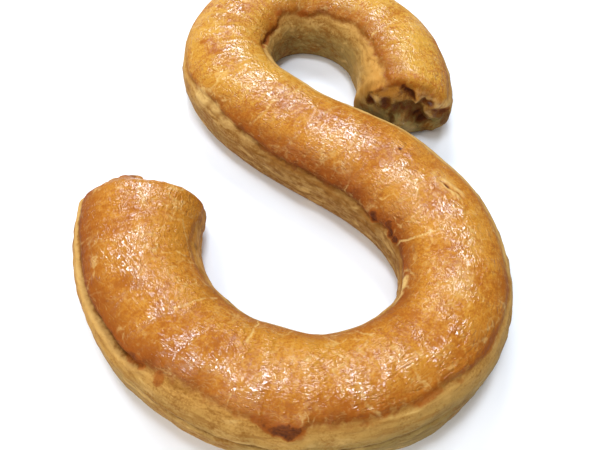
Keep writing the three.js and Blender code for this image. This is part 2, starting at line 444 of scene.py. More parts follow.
HEAD_END = RollEnd(
    depth=6.5,
    turn=-2.5,
    tuck=4.5,
    tip_across=1.0,
    tip_up=10.0,
    folds=rows_of(
        Fold,
        (10, 15, 8, 1.5), (-5, 18, 8, -4.5), (1, 10, 6, 2.0),
        (-15, 20, 6, 2.5), (-14, 9, 7, -2.5), (-2, 2, 8, 3.0),
    ),
    crags=rows_of(
        Stroke,
        ((12.9, 22.2), (11.4, 20.8), 2.3, 1.3), ((14.8, 19.4), (15.0, 18.0), 1.5, -1.6),
        ((8.4, 20.2), (7.4, 19.0), 1.6, -1.8), ((13.8, 24.3), (9.9, 26.9), 1.3, 1.0),
        ((9.9, 26.9), (5.9, 29.8), 1.3, 0.8), ((0.8, 28.0), (-2.8, 24.9), 2.0, -1.7),
        ((-4.6, 27.0), (-10.0, 25.6), 1.5, 1.0), ((-4.8, 21.8), (-6.8, 23.0), 2.6, 1.0),
        ((-9.2, 22.4), (-13.0, 22.6), 1.4, -1.8), ((-14.6, 24.0), (-18.4, 22.2), 2.6, 1.4),
        ((-15.5, 18.6), (-20.0, 17.0), 2.0, -2.2), ((2.0, 17.0), (-8.0, 16.4), 2.4, -1.2),
        ((-7.6, 12.4), (-10.2, 9.6), 2.0, -3.0), ((-11.5, 15.6), (-13.5, 14.0), 2.4, 1.1),
        ((-2.0, 8.5), (-4.0, 5.5), 3.4, 1.5), ((3.8, 12.5), (3.6, 6.0), 1.3, -1.8),
        ((3.6, 6.0), (0.0, 2.5), 1.2, -1.0),
    ),
    # Darkened strokes: baked brown and burnt spots, and painted shade in the middle hollow, the deep hole,
    # the crease left of the low lump, under the right flap and along the base.
    scorches_and_shade=rows_of(
        Stroke,
        ((14.5, 21.0), (8.0, 20.6), 3.4, 0.36), ((14.8, 19.6), (15.0, 18.0), 1.9, 0.80),
        ((8.6, 20.4), (7.3, 18.9), 2.0, 0.78), ((12.4, 23.2), (10.8, 22.6), 1.2, 0.42),
        ((14.4, 23.6), (9.9, 26.9), 1.2, 0.42), ((9.9, 26.9), (4.5, 29.6), 1.1, 0.36),
        ((3.0, 29.0), (0.0, 27.4), 1.6, 0.48), ((0.2, 27.4), (-3.6, 24.4), 2.3, 1.00),
        ((-2.6, 22.6), (-4.0, 21.0), 1.5, 0.50), ((-8.8, 21.8), (-12.8, 22.0), 1.8, 0.80),
        ((-6.0, 26.8), (-12.0, 26.0), 1.3, 0.35), ((-15.5, 17.8), (-20.5, 15.8), 2.8, 0.66),
        ((-20.0, 14.0), (-20.5, 9.0), 3.0, 0.50), ((2.0, 16.4), (-7.0, 15.0), 3.6, 0.58),
        ((-4.0, 12.4), (-10.0, 12.4), 3.2, 0.55), ((-7.4, 12.6), (-10.4, 9.4), 2.1, 0.95),
        ((3.8, 12.6), (3.6, 6.0), 1.3, 0.60), ((8.0, 1.5), (-12.0, 1.5), 2.6, 0.42),
    ),
    # Pale knobs on the crags' tops: pale dough, partly painted glints.
    knobs_and_glints=rows_of(
        Stroke,
        ((12.7, 21.8), (11.3, 20.6), 1.5, 0.85), ((-5.0, 21.4), (-6.6, 22.6), 1.7, 0.90),
        ((-8.0, 25.0), (-12.5, 24.6), 1.2, 0.55), ((-14.8, 22.4), (-18.6, 21.0), 1.6, 0.80),
        ((-12.0, 16.4), (-14.0, 14.6), 1.5, 0.60), ((0.0, 8.0), (-5.0, 5.0), 3.0, 0.40),
    ),
    glazed_from=0.86,
    ragged=2.2,
    ragged_to=4.0,
    washed_above=19.0,
)
TAIL_END = RollEnd(
    depth=8.0,
    turn=-8.0,
    tuck=2.5,
    tip_across=5.0,
    tip_up=20.0,
    folds=rows_of(Fold, (4.5, 27, 6, 3.5), (20, 18, 8, -3.5), (-16, 18, 9, 2.0), (0, 9, 8, 2.0)),
    crags=rows_of(
        Stroke,
        ((14.0, 24.0), (11.0, 21.0), 1.8, -1.3), ((-4.0, 25.0), (-8.0, 24.0), 1.8, -1.4),
        ((2.0, 13.0), (-6.0, 14.0), 2.0, -1.6), ((9.0, 12.0), (9.5, 8.0), 2.2, 1.2),
        ((-13.0, 13.0), (-15.0, 10.0), 1.8, -1.2),
    ),
    # Darkened strokes in the face's hollows and along its base: painted shade, with some baked brown.
    scorches_and_shade=rows_of(
        Stroke,
        ((14.0, 24.0), (11.0, 21.0), 1.6, 0.60), ((-4.0, 25.0), (-8.0, 24.0), 1.5, 0.60),
        ((3.0, 13.0), (-7.0, 14.0), 2.4, 0.55), ((-13.0, 13.0), (-15.0, 10.0), 1.6, 0.50),
        ((20.0, 18.0), (21.0, 12.0), 3.0, 0.50), ((12.0, 1.5), (-14.0, 1.5), 2.6, 0.45),
    ),
    knobs_and_glints=rows_of(Stroke, ((5.0, 26.0), (2.0, 25.0), 1.8, 0.40)),
    glazed_from=0.62,
    ragged=0.7,
    ragged_to=30.0,
    washed_above=14.0,
)


class Layer(str, Enum):
    """Values that the mesh carries for its finish."""

    PLACE = "roll_place"
    BELOW = "below_edge"
    # Scorch and shade: burnt and browned spots, the tear's and the seam's dark lines, and painted shade in
    # the ends' hollows, creases and base and in the fold inside the upper loop.
    SCORCH = "scorch"
    # Pale flakes and knobs, the knobs partly painted glints.
    PALE = "pale_flake"
    CRACK = "crack_side"
    CRACKED = "crack_strength"
    BROWNED = "browned_flank"
    PALE_RIM = "pale_rim"
    WASH = "egg_wash"
    DEEP = "deep_glaze"
    GOLD = "golden_glaze"
    CREASE = "crease"
    BASE = "base"
    FACE = "end_face"
    SHEEN = "sheen"


@dataclass
class RollSkin:
    """Grid of points over the plain roll, with a row to each ring, and where each of them lies.

    A point has a distance along the roll, an angle from the crest, a distance from the belly line, a place
    across the roll and up from its base, and a share of the full section, which shrinks to 0 at the tips. The
    foot is the angle at which its ring meets the base.
    """

    along: Array
    angle: Array
    radius: Array
    across: Array
    up: Array
    spread: Array
    at_tail: Array
    foot: Array
    points: Array
    face_from: float = 0.72
    line_fade: float = 1.5

    @property
    def on_end(self) -> Array:
        """1 on the ends' faces, fading to 0 at the full section."""
        return 1.0 - step(self.spread, self.face_from, 1.0)

    def strand(self, shift: float) -> Array:
        """Flat points that follow the roll, with its two flanks held apart by a shift."""
        return flat_points(self.along, shift * np.sign(self.angle))

    def normals(self) -> Array:
        """Works out which way the skin faces.

        Returns:
            Outward directions at the points.
        """
        points = self.points
        wrapped = np.concatenate([points[:, -2:-1], points, points[:, 1:2]], axis=1)
        normal = np.cross(np.gradient(points, axis=0), wrapped[:, 2:] - wrapped[:, :-2])
        normal = normal / np.maximum(np.linalg.norm(normal, axis=-1, keepdims=True), 1e-9)
        normal[0], normal[-1] = normal[1].mean(axis=0), normal[-2].mean(axis=0)
        middle = len(normal) // 2
        crest = np.argmax(points[middle, :, 2])
        return normal * math.copysign(1.0, normal[middle, crest, 2])

    def beside(self, start: Pair, end: Pair) -> tuple[Array, Array]:
        """Distance to one side of a line on the skin.

        Args:
            start: Distance along the roll and angle in degrees of one end.
            end: The same for the other end.

        Returns:
            Signed distance to the line, and 1 between its ends, fading to 0 past them.
        """
        first, last = math.radians(start[1]), math.radians(end[1])
        run = np.array([end[0] - start[0], (last - first) * float(np.mean(self.radius))])
        length = float(np.hypot(*run))
        east, north = self.along - start[0], (self.angle - first) * self.radius
        forward = (east * run[0] + north * run[1]) / length
        side = (east * run[1] - north * run[0]) / length
        fade = self.line_fade
        return side, step(forward, -fade, fade) * step(forward, length + fade, length - fade)


@dataclass(frozen=True)
class Crack:
    """Pale line across the top sheet between two places, each a distance and an angle in degrees."""

    start: Pair
    end: Pair
    strength: float
    depth: float = 0.15
    width: float = 0.9
    reach: float = 4.5
    full_reach: float = 3.0


CRACKS = rows_of(
    Crack,
    ((41, 36), (44, -8), 0.7), ((186, -46), (184, -14), 0.5), ((209, -48), (211, -2), 0.5),
    ((213, 8), (217, 42), 0.4), ((232, 6), (236, 40), 0.4), ((302, -67), (308, -40), 1.0),
    ((308, -40), (310, -16), 0.8), ((323, -62), (331, -50), 0.8), ((337, -62), (341, -50), 0.5),
    ((383, -52), (379, -28), 0.6), ((432, -64), (430, -18), 0.8), ((456, -55), (462, -8), 0.6),
    ((390, 10), (389, 27), 0.5), ((389, 27), (385, 40), 0.6), ((336, 36), (337, 54), 0.5),
    ((447, 33), (452, 48), 0.4),
)


@dataclass(frozen=True)
class Spot:
    """Spot on the crust: a distance, an angle in degrees, and half its size along and round the roll."""

    at: float
    angle: float
    along: float
    around: float
    strength: float
    rise: float = 0.0
    outside: float = 1.5
    inside: float = 0.6

    def share(self, skin: RollSkin, fraying: Array) -> Array:
        """Where the spot lies.

        Args:
            skin: The plain roll.
            fraying: Share by which the outline is drawn in or out at each point.

        Returns:
            1 in the spot and 0 outside it.
        """
        across = (skin.angle - math.radians(self.angle)) * skin.radius
        reach = np.hypot((skin.along - self.at) / self.along, across / self.around) + fraying
        return step(reach, self.outside, self.inside)


SPOTS = {
    Layer.SCORCH: rows_of(
        Spot,
        # The long spots at 148 and 164 mm, in the fold inside the upper loop, are a painted shadow; the
        # others are browned and burnt marks.
        (98, 48, 5.0, 1.8, 0.45), (121, 43, 3.0, 1.6, 0.45), (148, 57, 13, 1.8, 0.55),
        (164, 49, 5.0, 1.6, 0.5), (281, -63, 4.0, 3.0, 0.70, 0.3), (291.5, -57, 2.6, 2.8, 0.65, 0.3),
        (295, -63, 2.4, 2.3, 0.75, 0.3), (299.5, -64, 2.4, 2.3, 0.75, 0.3), (290, -57, 14, 5.0, 0.25),
        (318, -66, 6.0, 1.7, 0.5), (292.5, 16, 1.2, 0.7, 0.9, -0.3), (347, 43, 6.0, 2.2, 0.4),
        (372, 40, 6.0, 1.8, 0.35), (411.5, 45.5, 6.2, 3.0, 0.70, 0.2), (418, 39, 4.0, 1.8, 0.45),
        (449, 43, 1.7, 3.4, 0.45), (459, 45, 4.0, 2.0, 0.55), (467, 48, 9.0, 2.2, 0.50),
        (524, 54, 4.0, 3.0, 0.5), (268.6, 12.5, 0.8, 0.7, 1.0, -0.6),
    ),
    Layer.PALE: rows_of(
        Spot,
        (14, 69, 15, 2.6, 0.4), (183, -57, 4.5, 3.2, 0.65, 0.5), (191, -55, 2.6, 2.4, 0.60, 0.4),
        (198, -60, 3.4, 1.8, 0.55, 0.4), (209, -63, 4.0, 1.6, 0.45, 0.3), (335, -62, 6.0, 2.2, 0.9, 0.5),
        (347, -61, 6.0, 1.6, 0.8, 0.4), (333, -3, 8.0, 4.0, 0.25), (318, 12, 5.0, 3.0, 0.18),
        (290, 17, 5.0, 3.0, 0.25),
    ),
}


@dataclass(frozen=True)
class Tear:
    """Slit in the top sheet with a dark opening and raised pale edges."""

    start: Pair = (288.5, 15.5)
    end: Pair = (299.0, 22.0)
    opening: float = 0.45
    edge: float = 1.4
    edge_width: float = 0.8
    depth: float = 0.6
    rise: float = 0.3
    darkness: float = 0.5
    paleness: float = 0.7
    waver: Grain = Grain(1.0, 3.0, 91.0)

    def parts(self, skin: RollSkin) -> tuple[Array, Array]:
        """Where the tear lies.

        Args:
            skin: The plain roll.

        Returns:
            The opening and the edges, each 1 along its line.
        """
        side, inside = skin.beside(self.start, self.end)
        side = side + self.waver.at(skin.points)
        edges = hill(np.abs(side), self.edge, self.edge_width)
        return inside * hill(side, 0.0, self.opening), inside * edges


@dataclass(frozen=True)
class Seam:
    """Long groove low on the outer flank of the lower loop, fading in and out along the roll."""

    angle: float = 69.0
    width: float = 0.9
    depth: float = 0.9
    darkness: float = 0.5
    fade_in: Pair = (360.0, 372.0)
    fade_out: Pair = (476.0, 462.0)
    shift: float = 90.0
    drift: tuple[Grain, ...] = (Grain(1.6, 26.0, 63.0), Grain(0.5, 7.0, 69.0))
    strength: float = 0.75
    fading: Grain = Grain(0.6, 16.0, 65.0)

    def groove(self, skin: RollSkin) -> Array:
        """Where the seam lies.

        Args:
            skin: The plain roll.

        Returns:
            1 along the seam's line where it is strongest.
        """
        line = skin.strand(self.shift)
        side = (skin.angle - math.radians(self.angle)) * skin.radius + heaped(line, self.drift)
        strength = np.clip(self.strength + self.fading.at(line), 0.0, 1.0)
        faded = step(skin.along, *self.fade_in) * step(skin.along, *self.fade_out)
        return hill(side, 0.0, self.width) * strength * faded


@dataclass(frozen=True)
class Lamination:
    """Grooves between the puffed layers of dough on the flanks. Their width is a share of their pitch."""

    pitch: float = 4.6
    width: float = 0.13
    depth: float = 0.4
    side_shift: float = 80.0
    groove_shift: float = 40.0
    drift: tuple[Grain, ...] = (Grain(2.4, 38.0, 61.0), Grain(0.9, 11.0, 67.0))
    strength: float = 0.55
    fading: Grain = Grain(0.6, 24.0, 71.0)

    def relief(self, skin: RollSkin, below: Array) -> Array:
        """Works out the grooves.

        Args:
            skin: The plain roll.
            below: Distance of each point below the sheet's edge.

        Returns:
            Their height, which is negative.
        """
        phase = (below + heaped(skin.strand(self.side_shift), self.drift)) / self.pitch
        nearest = np.rint(phase)
        strength = self.strength + self.fading.at(flat_points(skin.along, self.groove_shift * nearest))
        return -self.depth * np.clip(strength, 0.0, 1.0) * hill(np.abs(phase - nearest), 0.0, self.width)


@dataclass(frozen=True)
class Ridge:
    """Ridge or groove that follows the sheet's edge: how far below it, its width and its rise."""

    below: float
    width: float
    rise: float

    def at(self, below: Array) -> Array:
        """Height at distances below the edge."""
        return self.rise * hill(below, self.below, self.width)


@dataclass(frozen=True)
class Lump:
    """Slow wave of unevenness along the roll that drifts round it."""

    length: float
    height: float
    lobes: int
    phase: float

    def at(self, skin: RollSkin) -> Array:
        """Height of the wave over the skin."""
        wave = np.sin(2 * math.pi * skin.along / self.length + self.phase)
        return self.height * wave * np.cos(self.lobes * skin.angle + self.phase)


@dataclass(frozen=True)
class Brushing:
    """Place on the strip of thickest egg wash: a distance, an angle in degrees and the sheen."""

    at: float
    angle: float
    sheen: float


LUMPS = rows_of(Lump, (83, 0.45, 1, 0.4), (47, 0.35, 2, 2.1), (31, 0.25, 3, 4.4))
BRUSHINGS = rows_of(
    Brushing,
    (0, 8, 0.4), (90, 10, 0.5), (150, 0, 0.8), (200, 5, 0.9), (240, -7, 1.0), (280, -7, 1.0),
    (325, 2, 0.9), (365, 10, 0.85), (410, 12, 1.0), (450, 11, 1.0), (490, 10, 0.85), (520, -8, 0.8),
)


class NodeKit:
    """Adds nodes to one material."""

    def __init__(self, name: str) -> None:
        """Starts a material with an empty node tree.

        Args:
            name: The material's name.
        """
        self.material = bpy.data.materials.new(name)
        self.material.use_nodes = True
        self.tree = self.material.node_tree
        self.tree.nodes.clear()

    def node(self, kind: str, settings: Settings | None = None, **inputs: object) -> bpy.types.Node:
        """Adds a node.

        Args:
            kind: The node's type.
            settings: Properties of the node, set before its sockets.
            **inputs: Numbers, colours, Values or sockets by socket name, with _ for a space, or by number as
                in_0.

        Returns:
            The new node.
        """
        made = self.tree.nodes.new(kind)
        for name, value in (settings or {}).items():
            setattr(made, name, value)
        for name, value in inputs.items():
            key = int(name[3:]) if name.startswith("in_") else name.replace("_", " ")
            self.feed(made.inputs[key], value)
        return made

    def feed(self, socket: bpy.types.NodeSocket, value: object) -> None:
        """Links a socket or sets its number or colour.

        Args:
            socket: The socket to feed.
            value: A Value or another socket to link to, or a number, vector or colour.
        """
        source = value.socket if isinstance(value, Value) else value
        if isinstance(source, bpy.types.NodeSocket):
            self.tree.links.new(source, socket)
        elif isinstance(source, tuple) and len(source) == 3 and socket.type == "RGBA":
            socket.default_value = (*source, 1.0)
        else:
            socket.default_value = source

    def number(self, layer: Layer) -> "Value":
        """One of the mesh's own numbers."""
        return Value(self, self.node("ShaderNodeAttribute", {"attribute_name": layer.value}).outputs["Fac"])

    def mix(self, cover: "Value | float", under: object, over: object) -> bpy.types.NodeSocket:
        """Colour that covers another by a share."""
        node = self.node("ShaderNodeMix", {"data_type": "RGBA"}, in_0=cover, in_6=under, in_7=over)
        return node.outputs[2]

    def layered(self, colour: object, *coats: tuple["Value", object]) -> bpy.types.NodeSocket:
        """Colour under coats of other colours.

        Args:
            colour: The lowest colour.
            *coats: From the lowest up, the share by which each covers what lies under it, and its colour.

        Returns:
            The colour that is seen.
        """
        for cover, over in coats:
            colour = self.mix(cover, colour, over)
        return colour

    def noise(self, vector: object, size: float, detail: float, distortion: float = 0.0) -> "Value":
        """Noise from 0 to 1.

        Args:
            vector: Coordinates in metres.
            size: Distance in millimetres from one lump to the next.
            detail: How many finer sizes are added.
            distortion: How far the noise is bent on itself.

        Returns:
            The noise.
        """
        shape = {"Scale": 1.0 / (size * MM), "Detail": detail, "Distortion": distortion}
        shape["Roughness"] = NOISE_ROUGHNESS
        return Value(self, self.node("ShaderNodeTexNoise", Vector=vector, **shape).outputs["Fac"])

    def stretched(self, vector: object, along: float, around: float) -> bpy.types.NodeSocket:
        """Coordinates drawn out along the roll or round it."""
        made = self.node("ShaderNodeMapping", Vector=vector, Scale=(1.0 / along, 1.0 / around, 1.0))
        return made.outputs["Vector"]

    def warped(self, vector: object, size: float, reach: float) -> bpy.types.NodeSocket:
        """Coordinates pushed about by noise.

        Args:
            vector: Coordinates in metres.
            size: Distance in millimetres from one lump of the noise to the next.
            reach: How far in millimetres the noise pushes.

        Returns:
            The pushed coordinates.
        """
        push = self.node("ShaderNodeTexNoise", Vector=vector, Scale=1.0 / (size * MM), Detail=2.0)
        kind = "ShaderNodeVectorMath"
        colour = push.outputs["Color"]
        centred = self.node(kind, {"operation": "SUBTRACT"}, in_0=colour, in_1=(0.5, 0.5, 0.5)).outputs[0]
        scaled = self.node(kind, {"operation": "SCALE"}, in_0=centred, Scale=2.0 * reach * MM).outputs[0]
        return self.node(kind, {"operation": "ADD"}, in_0=vector, in_1=scaled).outputs[0]


class Value:
    """Number that varies over a surface, so that shader maths reads as an expression."""

    def __init__(self, kit: NodeKit, socket: bpy.types.NodeSocket) -> None:
        """Wraps a socket."""
        self.kit = kit
        self.socket = socket

    def math(self, operation: str, *operands: "Value | float") -> "Value":
        """Adds a Math node.

        Args:
            operation: What the node does.
            *operands: What it does it to.

        Returns:
            The result.
        """
        inputs = {f"in_{index}": operand for index, operand in enumerate(operands)}
        made = self.kit.node("ShaderNodeMath", {"operation": operation}, **inputs)
        return Value(self.kit, made.outputs[0])

    def __add__(self, other: "Value | float") -> "Value":
        """Sum."""
        return self.math("ADD", self, other)

    __radd__ = __add__

    def __sub__(self, other: "Value | float") -> "Value":
        """Difference."""
        return self.math("SUBTRACT", self, other)

    def __rsub__(self, other: float) -> "Value":
        """Difference from a number."""
        return self.math("SUBTRACT", other, self)

    def __mul__(self, other: "Value | float") -> "Value":
        """Product."""
        return self.math("MULTIPLY", self, other)

    def __truediv__(self, other: "Value | float") -> "Value":
        """Quotient."""
        return self.math("DIVIDE", self, other)

    def __abs__(self) -> "Value":
        """Size without sign."""
        return self.math("ABSOLUTE", self)

    def swing(self, amount: float) -> "Value":
        """A noise turned into a swing about 0, of an amount."""
        return (self - 0.5) * amount

    def span(self, start: float, end: float) -> "Value":
        """Straight run from one number at 0 to another at 1."""
        return self * (end - start) + start

    def above(self, limit: float) -> "Value":
        """What exceeds a limit."""
        return (self - limit).most(0.0)

    def least(self, other: "Value | float") -> "Value":
        """The smaller of two."""
        return self.math("MINIMUM", self, other)

    def most(self, other: "Value | float") -> "Value":
        """The larger of two."""
        return self.math("MAXIMUM", self, other)

    def step(self, low: float, high: float) -> "Value":
        """Smooth rise from 0 to 1.

        Args:
            low: Where it is 0.
            high: Where it is 1, which may be below low.

        Returns:
            The risen value.
        """
        start, end = (0.0, 1.0) if low < high else (1.0, 0.0)
        limits = {"From_Min": min(low, high), "From_Max": max(low, high), "To_Min": start, "To_Max": end}
        made = self.kit.node("ShaderNodeMapRange", {"interpolation_type": "SMOOTHSTEP"}, Value=self, **limits)
        return Value(self.kit, made.outputs["Result"])


@dataclass(frozen=True)
class CrustFields:
    """Values that the crust's colours and fine relief are mixed from: the mesh's own, then noises."""

    kit: NodeKit
    below: Value
    scorch: Value
    pale: Value
    crack: Value
    cracked: Value
    browned: Value
    pale_rim: Value
    wash: Value
    deep: Value
    gold: Value
    crease: Value
    base: Value
    face: Value
    sheen: Value
    broad: Value
    patch: Value
    mottle: Value
    grain: Value
    streak: Value
    layers: Value
    flake: Value
    stain: Value
    seam: Value
    clump: Value
    wrinkle: Value
    thread: Value
    vein: Value

    @classmethod
    def read(cls, kit: NodeKit) -> "CrustFields":
        """Reads the mesh's own numbers and adds the noises.

        Args:
            kit: The material's nodes.

        Returns:
            The values.
        """
        own = {layer.name.lower(): kit.number(layer) for layer in Layer if layer is not Layer.PLACE}
        space = kit.node("ShaderNodeTexCoord").outputs["Object"]
        place = kit.node("ShaderNodeAttribute", {"attribute_name": Layer.PLACE.value}).outputs["Vector"]
        broad = kit.noise(space, size=26.0, detail=2.0)
        mottle = kit.noise(space, size=2.6, detail=4.0)
        layers = kit.noise(kit.stretched(place, 6.0, 0.7), size=2.4, detail=3.0, distortion=0.3)
        lines = kit.noise(kit.stretched(place, 9.0, 1.0), size=3.0, detail=2.0, distortion=0.5)
        ridges = kit.noise(kit.stretched(place, 0.7, 2.0), size=9.0, detail=2.0, distortion=0.5)
        gathered = kit.noise(space, size=13.0, detail=1.0) * 0.5 + ridges * 0.5
        drawn = kit.stretched(place, 1.5, 0.9)
        fold = abs(kit.noise(drawn, size=2.7, detail=1.5, distortion=0.9) - 0.5)
        pebble = kit.noise(drawn, size=2.1, detail=1.0, distortion=0.8)
        cell = 14.0 * MM
        bent = kit.warped(space, size=7.0, reach=7.0)
        web = kit.node("ShaderNodeTexVoronoi", {"feature": "DISTANCE_TO_EDGE"}, Vector=bent, Scale=1.0 / cell)
        veins = Value(kit, web.outputs["Distance"]).step(0.07, 0.0)
        return cls(
            kit=kit,
            **own,
            broad=broad,
            patch=kit.noise(space, size=8.0, detail=3.0),
            mottle=mottle,
            grain=kit.noise(space, size=0.8, detail=2.0),
            streak=kit.noise(kit.stretched(place, 0.6, 3.0), size=2.4, detail=3.0, distortion=0.4),
            layers=layers + (mottle - layers) * own["face"],
            flake=kit.noise(kit.stretched(place, 2.2, 0.7), size=2.4, detail=4.0, distortion=0.4),
            stain=kit.noise(kit.stretched(place, 2.6, 0.8), size=5.0, detail=4.0, distortion=0.7),
            seam=abs(lines - 0.5).step(0.035, 0.0) * (1.0 - own["face"]),
            clump=gathered.step(0.42, 0.58),
            wrinkle=pebble * 4.6 + fold.step(0.0, 0.20) * 0.5,
            thread=fold.step(0.05, 0.0) * mottle.step(0.42, 0.58),
            vein=veins * broad.step(0.40, 0.60) * mottle.step(0.35, 0.6),
        )

    @property
    def fringe(self) -> Value:
        """Distance below the frayed border of the glaze."""
        fray = self.patch.swing(8.0) + self.mottle.swing(5.5)
        return self.below + fray * (1.0 - self.pale_rim * 0.75)

    @property
    def split(self) -> Value:
        """Strength of the cracks, frayed along their lines."""
        side = self.crack + self.patch.swing(6.0) + self.mottle.swing(2.4)
        return abs(side).step(1.0, 0.1) * self.cracked * self.mottle.step(0.30, 0.55)


@dataclass(frozen=True)
class BakedCrust:
    """Finish of the letter: a glossy egg-washed top, paler dull flanks, dark borders and scorched crags, with
    painted shade on the flanks and in the ends' hollows.
    """

    name: str = "baked_crust"
    golden: Colour = (0.55, 0.272, 0.030)
    honey: Colour = (0.482, 0.181, 0.014)
    amber: Colour = (0.362, 0.108, 0.005)
    chestnut: Colour = (0.268, 0.063, 0.003)
    border: Colour = (0.125, 0.028, 0.003)
    scorched: Colour = (0.045, 0.011, 0.003)
    dough: Colour = (0.375, 0.240, 0.066)
    # Olive for the painted shade low on the flanks.
    olive_shade: Colour = (0.200, 0.150, 0.046)
    washed: Colour = (0.50, 0.245, 0.050)
    toasted: Colour = (0.245, 0.093, 0.010)
    # Dark brown of grooves, also used for the painted shadow in the crevices.
    groove: Colour = (0.13, 0.052, 0.008)
    cream: Colour = (0.64, 0.40, 0.13)
    under: Colour = (0.30, 0.135, 0.022)
    flank_roughness: float = 0.72
    flank_specular: float = 0.12
    glaze_roughness: float = 0.15
    glaze_index: float = 1.8
    bump_strength: float = 0.8
    bump_depth: float = 0.24

    def material(self) -> bpy.types.Material:
        """Builds the material.

        Returns:
            The material: a dull and a glossy shader, with one colour and one fine relief.
        """
        kit = NodeKit(self.name)
        crust = CrustFields.read(kit)
        fringe, split = crust.fringe, crust.split
        glazed = fringe.step(2.4, -1.4)
        plain = kit.mix(glazed, self.flank(crust, fringe), self.glaze(crust, fringe, split))
        coated = glazed * (1.0 - crust.pale * 0.8) * (1.0 - crust.base)
        gloss = coated * crust.sheen * crust.clump.span(0.15, 1.0) * (1.0 - fringe.step(-9.0, -2.0) * 0.75)
        face_gloss = crust.face * (crust.wash * crust.clump * 0.4).most(crust.pale * 0.6)
        gloss = gloss * (1.0 - crust.scorch * 0.8) + face_gloss
        skin = crust.wrinkle * coated * crust.clump.span(0.4, 1.0)
        crumbs = crust.layers * 0.5 + crust.flake * 2.4 + crust.mottle * 1.2 + crust.grain * 0.8
        height = skin + crumbs * (1.0 - coated) - split * 0.6
        depth = self.bump_depth * MM
        bump = kit.node("ShaderNodeBump", Strength=self.bump_strength, Distance=depth, Height=height)
        shared = {"Base_Color": self.marked(crust, plain), "Normal": bump.outputs["Normal"]}
        uneven = self.flank_roughness + crust.grain.swing(0.06)
        wet = self.glaze_roughness - crust.clump * 0.04
        principled = "ShaderNodeBsdfPrincipled"
        dull = kit.node(principled, Roughness=uneven, Specular_IOR_Level=self.flank_specular, **shared)
        glossy = kit.node(principled, Roughness=wet, IOR=self.glaze_index, **shared)
        shaders = {"in_1": dull.outputs["BSDF"], "in_2": glossy.outputs["BSDF"]}
        both = kit.node("ShaderNodeMixShader", in_0=gloss, **shaders)
        kit.node("ShaderNodeOutputMaterial", Surface=both.outputs["Shader"])
        return kit.material

    def glaze(self, crust: CrustFields, fringe: Value, split: Value) -> bpy.types.NodeSocket:
        """Colour of the egg-washed top: honey and amber, browner towards its border, with pale cracks.

        Args:
            crust: Values over the crust.
            fringe: Distance below the frayed border of the glaze.
            split: Strength of the cracks.

        Returns:
            The colour.
        """
        tone = crust.broad.swing(1.5) + crust.patch.swing(0.9) + crust.streak.swing(0.9)
        tone = tone + crust.mottle.swing(0.9) + 0.5 + crust.gold * 0.08
        light = crust.kit.mix(crust.gold, self.honey, self.golden)
        band = fringe / crust.deep.span(5.0, 16.0)
        browned = band.step(-1.0, -0.15) * crust.deep * crust.patch.span(0.5, 1.4)
        lines = crust.thread * 0.2 + crust.vein * 0.45 + split * 0.8
        return crust.kit.layered(
            self.amber,
            ((tone + crust.grain.swing(1.5)).step(0.1, 0.85), light),
            (tone.step(0.34, 0.0) * 0.4, self.chestnut),
            (browned.least(1.0), self.chestnut),
            (fringe.step(-4.0, 0.0) * crust.patch.span(0.2, 1.0) * crust.deep, self.border),
            (fringe.step(-12.0, -1.0) * crust.patch.span(0.1, 1.0) * crust.deep.above(0.6), self.border),
            (lines.least(1.0), self.cream),
        )

    def flank(self, crust: CrustFields, fringe: Value) -> bpy.types.NodeSocket:
        """Colour of the flanks: crumbly dough, toasted and stained, with a pale rim and dark grooves, painted
        shade low down and under the sheet's edge, and a painted shadow in the crevice.

        Args:
            crust: Values over the crust.
            fringe: Distance below the frayed border of the glaze.

        Returns:
            The colour.
        """
        # Painted shade: darker olive low on the flanks, towards the floor.
        low = (crust.below.step(3.0, 15.0) * crust.patch.span(0.45, 1.35)).least(1.0)
        wash = crust.wash * (0.5 + crust.patch) + fringe.step(11.0, 1.0) * crust.patch.span(0.2, 0.7)
        crumb = crust.flake.swing(1.2) + crust.mottle.swing(1.0) + crust.layers.swing(0.4)
        toast = crust.browned + crumb * 0.7 + crust.patch.swing(1.7) + crust.grain.swing(1.6)
        stained = crust.stain.step(0.50, 0.64) * (1.0 - crust.face) * crust.wash.span(0.35, 1.05)
        # Painted shadow in the crevice under the sheet's edge.
        shadow = fringe.step(-1.0, 0.3) * fringe.step(1.6, 0.5) * (crust.crease - 0.5).least(1.0).most(0.0)
        rim = fringe.step(0.9, 1.6) * fringe.step(4.0, 2.2) * crust.pale_rim
        return crust.kit.layered(
            self.dough,
            (low, self.olive_shade),
            (wash.least(1.0), self.washed),
            (crust.wash.above(0.55) * 1.6, self.honey),
            (toast.step(0.0, 1.1), self.toasted),
            (crust.browned.above(0.7) * 1.1, self.groove),
            ((crumb - crust.browned * 0.3).step(-0.05, -0.6) * 0.35, self.cream),
            (crust.layers.step(0.40, 0.24) * (0.35 - crust.wash * 0.4).most(0.0), self.groove),
            (crust.seam * crust.below.step(7.0, 13.0) * (0.6 - crust.wash).most(0.0), self.groove),
            (stained * fringe.step(19.0, 3.0), self.toasted),
            (crust.stain.step(0.44, 0.30) * (1.0 - crust.face) * 0.5, self.cream),
            # Painted shade just under the sheet's edge, as deep as the crevice there.
            (fringe.step(4.5, 0.0) * crust.crease.least(1.0) * 0.5, self.toasted),
            (shadow * crust.patch.span(0.3, 1.2), self.groove),
            (rim * crust.mottle.span(0.15, 0.75), self.cream),
        )

    def marked(self, crust: CrustFields, plain: bpy.types.NodeSocket) -> bpy.types.NodeSocket:
        """Adds the underside's colour, the pale flakes, knobs and painted glints, and the scorched spots and
        painted shade.

        Args:
            crust: Values over the crust.
            plain: Colour of the plain crust.

        Returns:
            The colour with the marks.
        """
        underside = crust.kit.mix(crust.mottle.step(0.4, 0.7), self.under, self.amber)
        flaked = crust.pale * (crust.flake * 0.7 + crust.mottle * 0.5).step(0.35, 0.75) * 1.4
